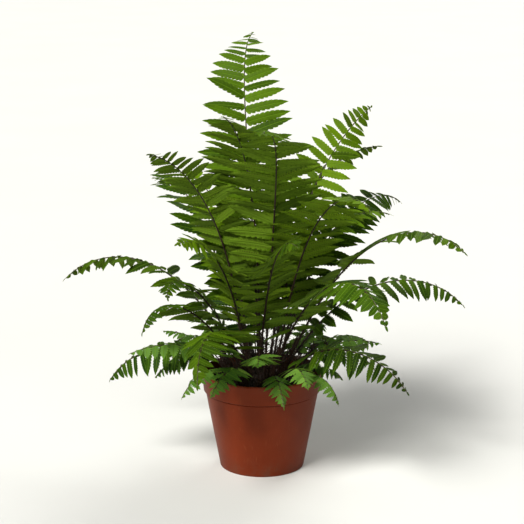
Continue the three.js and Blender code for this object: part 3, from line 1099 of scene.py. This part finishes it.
def leaf_finish(name, deep, bright, lobes, fertile):
    material, tree, shader = new_material(name)
    uv = result(tree, "ShaderNodeUVMap", uv_map="UVMap")
    u, v, _ = put(tree, "ShaderNodeSeparateXYZ", {0: uv}).outputs
    from_rib = times(tree, calc(tree, "ABSOLUTE", calc(tree, "SUBTRACT", v, 0.5)), 2.0)
    under, tint, youth, coolness = (
        stored(tree, label) for label in ("under", "tint", "youth", "coolness")
    )
    place = object_place(tree)
    blotch = ramp(tree, noise(tree, place, 160, 3), 0.3, 0.7)
    tone = calc(tree, "MULTIPLY_ADD", tint, 0.40, times(tree, youth, 0.66))
    tone = calc(tree, "POWER", calc(tree, "MULTIPLY_ADD", blotch, 0.12, tone), 1.7)
    green = blend_colours(tree, tone, deep, bright)
    green = blend_colours(tree, times(tree, coolness, 0.45), green, COOL_GREEN)
    phase = calc(tree, "MULTIPLY_ADD", u, lobes, times(tree, from_rib, -0.55))
    vein = calc(tree, "ABSOLUTE", calc(tree, "SUBTRACT", calc(tree, "FRACT", phase), 0.5))
    midrib = ramp(tree, from_rib, 0.11, 0.03)
    lines = calc(tree, "MAXIMUM", times(tree, ramp(tree, vein, 0.10, 0.0), 0.35), midrib)
    veined = blend_colours(tree, times(tree, lines, 0.6), green, VEIN_GREEN)
    old_tip = times(tree, ramp(tree, u, 0.86, 1.0), ramp(tree, tint, 0.86, 1.0), 0.8)
    browned = blend_colours(tree, old_tip, veined, TIP_BROWN)
    pale = blend_colours(tree, 0.40, browned, UNDERSIDE_GREEN)
    if fertile:
        dots = spore_dots(tree, u, from_rib, tint, place)
        pale = blend_colours(tree, dots, pale, SPORE_BROWN)
    colour = blend_colours(tree, under, browned, pale)
    rough = calc(tree, "MULTIPLY_ADD", blotch, 0.12, 0.48)
    quilt = calc(tree, "SUBTRACT", noise(tree, place, 420, 2), times(tree, lines, 1.3))
    fill(tree, shader, {
        "Base Color": colour, "Roughness": calc(tree, "MULTIPLY_ADD", under, 0.20, rough),
        "Specular IOR Level": 0.13, "Normal": bump(tree, quilt, 0.0004, 0.7),
    })
    tint_through = {"Hue": 0.482, "Saturation": 1.15, "Value": 1.7, "Color": colour}
    glow = result(tree, "ShaderNodeHueSaturation", tint_through)
    through = result(tree, "ShaderNodeBsdfTranslucent", {0: glow})
    shares = {0: GLOW_SHARE, 1: shader.outputs[0], 2: through}
    mixed = result(tree, "ShaderNodeMixShader", shares)
    fill(tree, tree.nodes["Material Output"], {"Surface": mixed})
    return material


leaf_finishes = {
    "frond": leaf_finish(
        "fern_leaf", (0.008, 0.026, 0.001, 1), (0.190, 0.315, 0.003, 1), lobes=9.0, fertile=True
    ),
    "young_frond": leaf_finish(
        "young_leaf", (0.065, 0.155, 0.022, 1), (0.240, 0.400, 0.085, 1), lobes=6.0, fertile=False
    ),
}

# %% [markdown]
# The stalk is nearly black-brown at the soil and turns olive towards the tip, so its colour
# follows the stored share of the frond's length. Fine streaks run along it. The scales are glossy
# dark brown.

# %% Stalk and scale finishes
stalk_brown, tree, shader = new_material("fern_stalk")
streak = ramp(tree, noise(tree, object_place(tree, (1, 1, 0.15)), 900, 3), 0.35, 0.7)
low = blend_colours(tree, streak, (0.014, 0.007, 0.004, 1), (0.050, 0.024, 0.012, 1))
high = blend_colours(tree, streak, (0.045, 0.040, 0.012, 1), (0.100, 0.105, 0.030, 1))
fill(tree, shader, {
    "Base Color": blend_colours(tree, ramp(tree, stored(tree, "share"), 0.55, 1.0), low, high),
    "Roughness": calc(tree, "MULTIPLY_ADD", streak, 0.25, 0.35),
    "Normal": bump(tree, streak, 0.0002, 0.6),
})

scale_brown, tree, shader = new_material("stalk_scales")
patch = ramp(tree, noise(tree, object_place(tree), 700, 2), 0.35, 0.7)
fill(tree, shader, {
    "Base Color": blend_colours(tree, patch, (0.010, 0.005, 0.003, 1), (0.055, 0.024, 0.010, 1)),
    "Roughness": calc(tree, "MULTIPLY_ADD", patch, 0.2, 0.35),
})

# %% [markdown]
# ## Growing every frond
#
# Each frond's path is measured from its plan: a few points down in the soil and along the bare
# stalk, then one for every pair of leaflets. The real plant has more and narrower leaflets than the
# plain model, so their number is raised, while the blade's outline, slant and droop stay the same.

# %% A frond's path and its facts
MORE_PAIRS = 1.75
BARE_STEPS = 10
STALK_RADIUS = 0.45
LEAST_STALK = 0.45
END_LEAFLET = 0.13
NO_LEAFLETS = dict(reach=0, spacing=0, slant=0, cup=0, end_length=0)


def path_facts(plan):
    """For each point of the path, from the soil up, its place and what the tree reads there."""
    path = path_of(plan)
    pairs = round(plan["pairs"] * MORE_PAIRS)
    bare = plan["bare_stem"]
    points = []

    def add(place, share, **facts):
        along, left, face, _ = directions(plan, share)
        radius = max(plan["stem_width"] * STALK_RADIUS * (1 - TAPER * share), LEAST_STALK)
        shaggy = 1 - smooth_step(share, bare * 0.5, bare + 0.25)
        points.append(dict(
            place=place, along=along, left=left, face=face, share=share,
            stalk_radius=radius * MM, shagginess=shaggy,
        ) | NO_LEAFLETS | facts)

    for depth in (STALK_DEPTH, STALK_DEPTH / 2):
        add(plan["foot"] - Vector((0, 0, depth)), 0)
    for i in range(BARE_STEPS):
        share = bare * i / BARE_STEPS
        add(point_on(path, share), share)
    xs = [blade_share(k, pairs) for k in range(pairs + 1)]
    shares = [bare + (1 - bare) * x for x in xs]
    for k in range(pairs):
        x, share = (xs[k] + xs[k + 1]) / 2, (shares[k] + shares[k + 1]) / 2
        centre = point_on(path, share)
        reach = plan["half_width"] * outline(x)
        spacing = (point_on(path, shares[k]) - point_on(path, shares[k + 1])).length
        cup = leaflet_cup(centre, reach, directions(plan, share)[3])
        add(centre, share, reach=reach * MM, spacing=spacing * MM, slant=leaflet_slant(x), cup=cup)
    end_length = plan["half_width"] * END_LEAFLET * MM
    add(point_on(path, shares[-1]), shares[-1], end_length=end_length)
    return points


# %% From facts to a mesh
WAYS = ("along", "left", "face")
NUMBERS = ("share", "stalk_radius", "shagginess", *NO_LEAFLETS)
KEPT_FACTS = ("share", "tint", "youth", "coolness", "under", "UVMap", "position", "sharp_edge",
              "sharp_face", "material_index")


def path_object(name, strands):
    """A mesh of bare lines, one for each list of points, with the facts stored at every point."""
    data = bpy.data.meshes.new(name)
    points = [point for strand in strands for point in strand]
    lines, first = [], 0
    for strand in strands:
        lines += [(first + i, first + i + 1) for i in range(len(strand) - 1)]
        first += len(strand)
    data.from_pydata([p["place"] * MM for p in points], lines, [])
    for label in (*WAYS, *NUMBERS):
        kind, field = ("FLOAT_VECTOR", "vector") if label in WAYS else ("FLOAT", "value")
        for value, point in zip(data.attributes.new(label, kind, "POINT").data, points):
            setattr(value, field, point[label])
    return added(name, data)


def plain_mesh(piece):
    """Makes what the tree grew a plain mesh, and drops the facts that no finish reads."""
    settle(piece)
    for attribute in list(piece.data.attributes):
        if attribute.name not in KEPT_FACTS and not attribute.name.startswith("."):
            piece.data.attributes.remove(attribute)


# %% From a plan to a finished frond
SCALES_PER_SQUARE_METRE = 420000.0
SCALE_LENGTH = 4.2 * MM


def grown(name, kind, plan, seed):
    frond = path_object(name, [path_facts(plan)])
    draw = random_from(seed)
    young = kind is EDGE
    shapes = LEAFLETS[kind["name"]]
    add_nodes(
        frond, growth, left_leaflet=shapes[0], right_leaflet=shapes[1], stalk_scale=stalk_scale,
        leaflet_width=0.72 + 0.10 * plan["rank"] + 0.14 * next(draw) + 0.26 * young,
        unevenness=0.22 + 0.18 * next(draw), stagger=0.18 * next(draw),
        scales_per_square_metre=SCALES_PER_SQUARE_METRE * (0.4 if young else 1),
        scale_length=SCALE_LENGTH * (0.6 if young else 1),
        youth=min(1.0, 0.55 * plan["rank"] + 0.45 * next(draw)), coolness=next(draw), seed=seed,
        leaf=leaf_finishes[kind["name"]], stalk=stalk_brown, scale=scale_brown,
    )
    plain_mesh(frond)
    return frond


# %% Grow them
triangles = []
for number, (kind, node, plan, gap) in enumerate(plans):
    frond = grown(f"fern_{node}", kind, plan, 100 + number)
    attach(frond, "root")
    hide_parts(node)
    triangles.append(sum(len(p.vertices) - 2 for p in frond.data.polygons))
print("fronds:", len(triangles), "triangles in all:", sum(triangles), "most:", max(triangles))

# %% [markdown]
# ## Old stubs, partly painted shade
#
# Between the live stalks stand the dry stubs of fronds that were cut off in earlier seasons, dark
# brown and as shaggy as the rest. They make the inside of the crown dense and dark, and this dark
# mass also stands in for the deep shade inside the crown, so it is partly painted shade. Each is a
# short path without leaflets, leaning outwards, and the same tree grows them all at once. One is
# kept only where it is clear of every live stalk and of the other stubs.

# %% Places for the stubs
STUBS = 70
STUB_CLEARANCE = 4.0
STUB_CIRCLE = 46
LOW_STALK = 110

stalk_points = []
for kind, node, plan, gap in plans:
    path = path_of(plan)
    steps = range(0, min(int(plan["length"]), LOW_STALK), 2)
    stalk_points += [point_on(path, step / plan["length"]) for step in steps]


def stub_points(draw):
    """The points of one stub, from below the soil to its top."""
    radius, angle = STUB_CIRCLE * math.sqrt(next(draw)), math.tau * next(draw)
    outward = around(angle)
    lean = math.radians(4 + 0.5 * radius + 14 * next(draw))
    height = 14 + 26 * next(draw)
    foot = outward * radius
    foot.z = soil_height(foot.x, foot.y)
    way = outward * math.sin(lean) + Vector((0, 0, math.cos(lean)))
    return [foot + way * step for step in (-5, 0, height * 0.35, height * 0.7, height)]


def is_clear(points, others):
    above = points[1:]
    return all((place - other).length > STUB_CLEARANCE for place in above for other in others)


# %% Grow the stubs
draw = random_from(77)
strands = []
for _ in range(STUBS):
    points = stub_points(draw)
    if is_clear(points, stalk_points):
        stalk_points += points
        along = (points[-1] - points[0]).normalized()
        left = along.orthogonal().normalized()
        strands.append([
            dict(place=place, along=along, left=left, face=along.cross(left), share=0.0,
                 stalk_radius=(1.25 - 0.1 * i) * MM, shagginess=1.0) | NO_LEAFLETS
            for i, place in enumerate(points)
        ])
# Dark brown stubs like the stalk's foot; as a dark mass at the crown's base they are partly painted
# shade.
stubs = path_object("old_stalk_stubs", strands)
add_nodes(
    stubs, growth, left_leaflet=stalk_scale, right_leaflet=stalk_scale, stalk_scale=stalk_scale,
    leaflet_width=0.0, unevenness=0.0, stagger=0.0, scales_per_square_metre=500000.0,
    scale_length=0.0055, youth=0.0, coolness=0.0, seed=7, leaf=stalk_brown, stalk=stalk_brown,
    scale=scale_brown,
)
plain_mesh(stubs)
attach(stubs, "root")
print("stubs:", len(strands), "faces:", len(stubs.data.polygons))
